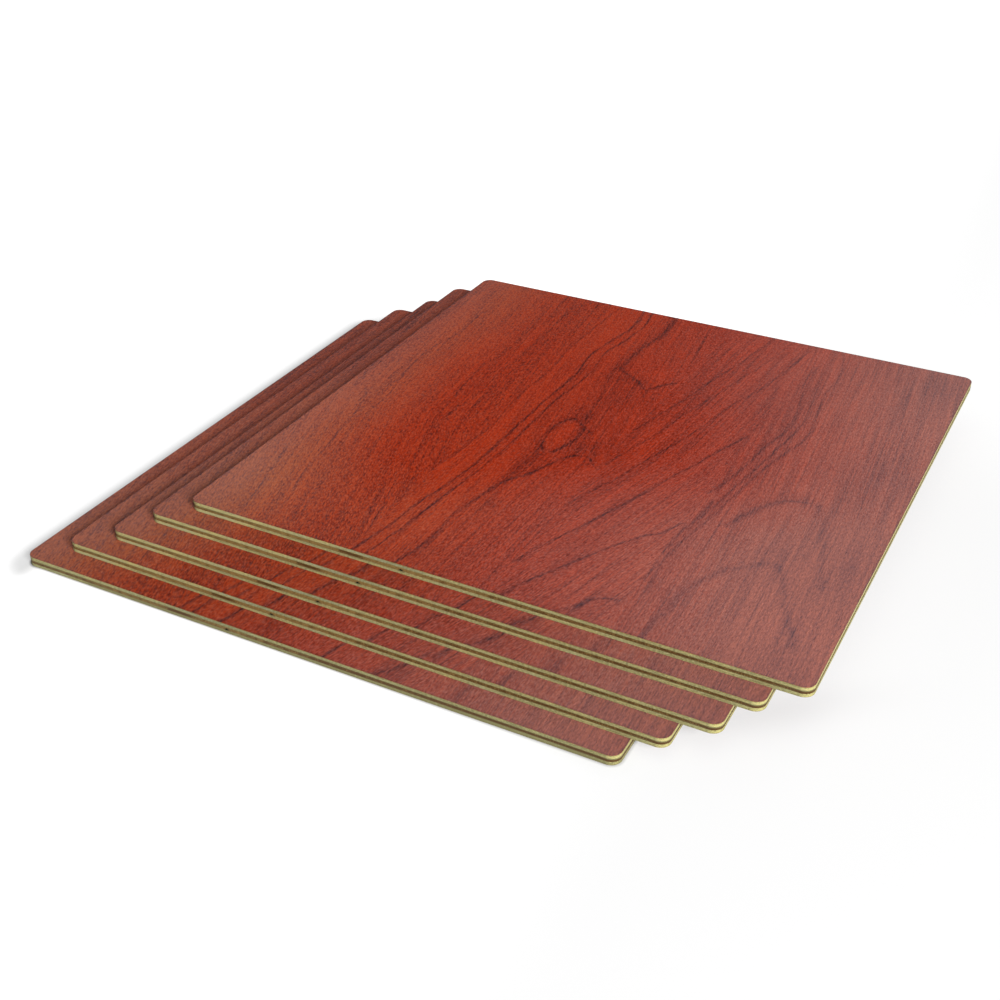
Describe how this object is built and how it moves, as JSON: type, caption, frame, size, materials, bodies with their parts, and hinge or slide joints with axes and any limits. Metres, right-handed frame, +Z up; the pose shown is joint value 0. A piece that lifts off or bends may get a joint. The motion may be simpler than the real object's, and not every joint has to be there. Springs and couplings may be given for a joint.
{
  "type": "stack of plywood sheets",
  "caption": "Hand-laid stack of thin square plywood sheets with rounded corners, a red-brown face veneer and pale and dark plies showing on the cut edges.",
  "frame": {"origin": "middle of the floor space the whole stack takes up, at its underside", "axes": "+Z up through the stack, +Y along the face grain from the front edge to the back, +X to the right; each sheet lies further along +X and +Y than the one under it"},
  "size_m": [0.3592, 0.3498, 0.025],
  "materials": {
    "face_veneer": "red-brown sliced veneer, sanded, satin, grain along Y",
    "pale_ply": "pale cream ply, sawn edge",
    "core_ply": "dark brown core ply, sawn edge"
  },
  "bodies": {
    "root": {"sheet_1_back_veneer": "face_veneer", "sheet_1_lower_ply": "pale_ply", "sheet_1_core_ply": "core_ply", "sheet_1_upper_ply": "pale_ply", "sheet_1_face_veneer": "face_veneer", "sheet_2_back_veneer": "face_veneer", "sheet_2_lower_ply": "pale_ply", "sheet_2_core_ply": "core_ply", "sheet_2_upper_ply": "pale_ply", "sheet_2_face_veneer": "face_veneer", "sheet_3_back_veneer": "face_veneer", "sheet_3_lower_ply": "pale_ply", "sheet_3_core_ply": "core_ply", "sheet_3_upper_ply": "pale_ply", "sheet_3_face_veneer": "face_veneer", "sheet_4_back_veneer": "face_veneer", "sheet_4_lower_ply": "pale_ply", "sheet_4_core_ply": "core_ply", "sheet_4_upper_ply": "pale_ply", "sheet_4_face_veneer": "face_veneer", "sheet_5_back_veneer": "face_veneer", "sheet_5_lower_ply": "pale_ply", "sheet_5_core_ply": "core_ply", "sheet_5_upper_ply": "pale_ply", "sheet_5_face_veneer": "face_veneer"}
  },
  "joints": []
}
